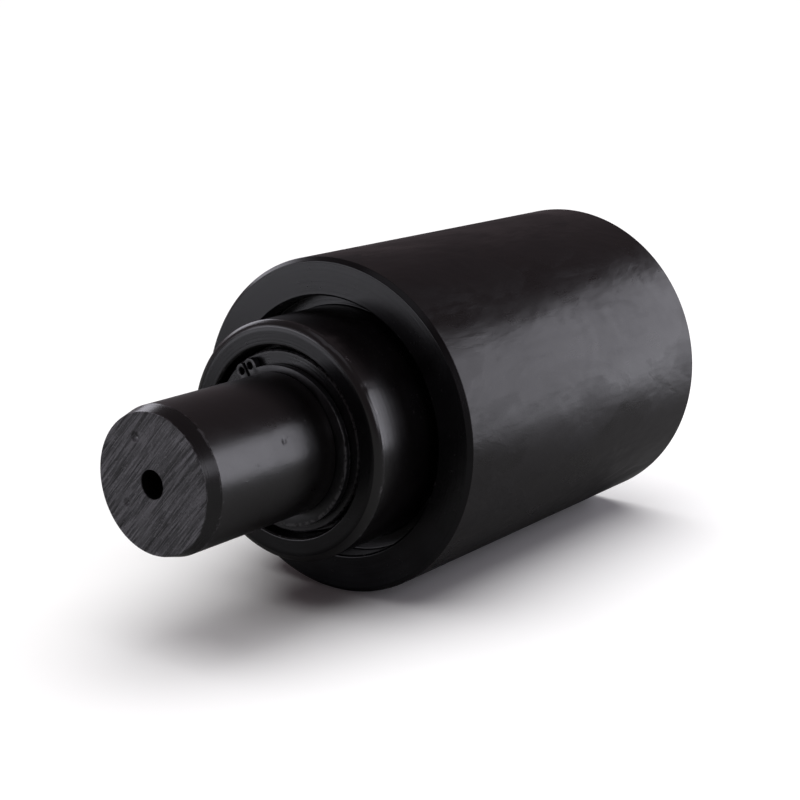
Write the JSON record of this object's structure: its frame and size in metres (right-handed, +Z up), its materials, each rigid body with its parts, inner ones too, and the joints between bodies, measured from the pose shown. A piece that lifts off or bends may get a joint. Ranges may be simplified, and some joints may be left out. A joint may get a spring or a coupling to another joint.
{
  "type": "carrier roller",
  "caption": "Plain cylindrical carrier roller for a crawler track, turning on ball bearings on a stub shaft that is clamped at one end.",
  "frame": {"origin": "on the shaft's axis, halfway along the bare stub between the hub's rim and the shaft's end", "axes": "+Y along the shaft, from the stub's free end towards the roller's closed end; +Z up"},
  "size_m": [0.073, 0.1479, 0.073],
  "materials": {
    "roller_paint": "satin black lacquer on machined steel, faintly streaked",
    "shaft_steel": "black-oxide turned steel, satin; the end face shows saw marks",
    "collar_steel": "black-oxide turned steel, matt",
    "spring_steel": "phosphated spring steel, dark and satin",
    "cover_paint": "satin black lacquer",
    "copper": "soft copper sealing washer",
    "seal_rubber": "matt nitrile rubber",
    "seal_steel": "sheet steel with a thin black sealing coat",
    "pressed_steel": "pressed sheet steel",
    "ground_steel": "fine ground steel",
    "bearing_steel": "polished bearing steel"
  },
  "bodies": {
    "shaft": {"shaft": "shaft_steel", "oil_hole_plug": "spring_steel", "dust_collar": "collar_steel", "shaft_circlip": "spring_steel", "rear_shaft_circlip": "spring_steel", "front_inner_race": "bearing_steel", "rear_inner_race": "bearing_steel", "spacer_sleeve": "ground_steel"},
    "roller": {"roller_shell": "roller_paint", "front_outer_race": "bearing_steel", "rear_outer_race": "bearing_steel", "seal_case": "seal_steel", "seal_lip": "seal_rubber", "garter_spring": "ground_steel", "bearing_circlip": "spring_steel", "end_cover": "cover_paint", "cover_o_ring": "seal_rubber", "cover_circlip": "spring_steel", "fill_plug": "spring_steel", "plug_washer": "copper"},
    "front_cage": {"front_cage": "pressed_steel", "front_ball_01": "bearing_steel", "front_ball_02": "bearing_steel", "front_ball_03": "bearing_steel", "front_ball_04": "bearing_steel", "front_ball_05": "bearing_steel", "front_ball_06": "bearing_steel", "front_ball_07": "bearing_steel", "front_ball_08": "bearing_steel", "front_ball_09": "bearing_steel", "front_ball_10": "bearing_steel", "front_ball_11": "bearing_steel"},
    "rear_cage": {"rear_cage": "pressed_steel", "rear_ball_01": "bearing_steel", "rear_ball_02": "bearing_steel", "rear_ball_03": "bearing_steel", "rear_ball_04": "bearing_steel", "rear_ball_05": "bearing_steel", "rear_ball_06": "bearing_steel", "rear_ball_07": "bearing_steel", "rear_ball_08": "bearing_steel", "rear_ball_09": "bearing_steel", "rear_ball_10": "bearing_steel", "rear_ball_11": "bearing_steel"}
  },
  "joints": [
    {"name": "roller_spin", "type": "hinge", "parent": "shaft", "child": "roller", "pos_m": [0, 0.08182, 0], "axis": [0, 1, 0], "continuous": true},
    {"name": "front_cage_spin", "type": "hinge", "parent": "shaft", "child": "front_cage", "pos_m": [0, 0.05112, 0], "axis": [0, 1, 0], "continuous": true},
    {"name": "rear_cage_spin", "type": "hinge", "parent": "shaft", "child": "rear_cage", "pos_m": [0, 0.10512, 0], "axis": [0, 1, 0], "continuous": true}
  ],
  "couplings": [
    {"joint": "front_cage_spin", "follows": "roller_spin", "ratio": 0.584},
    {"joint": "rear_cage_spin", "follows": "roller_spin", "ratio": 0.584}
  ]
}
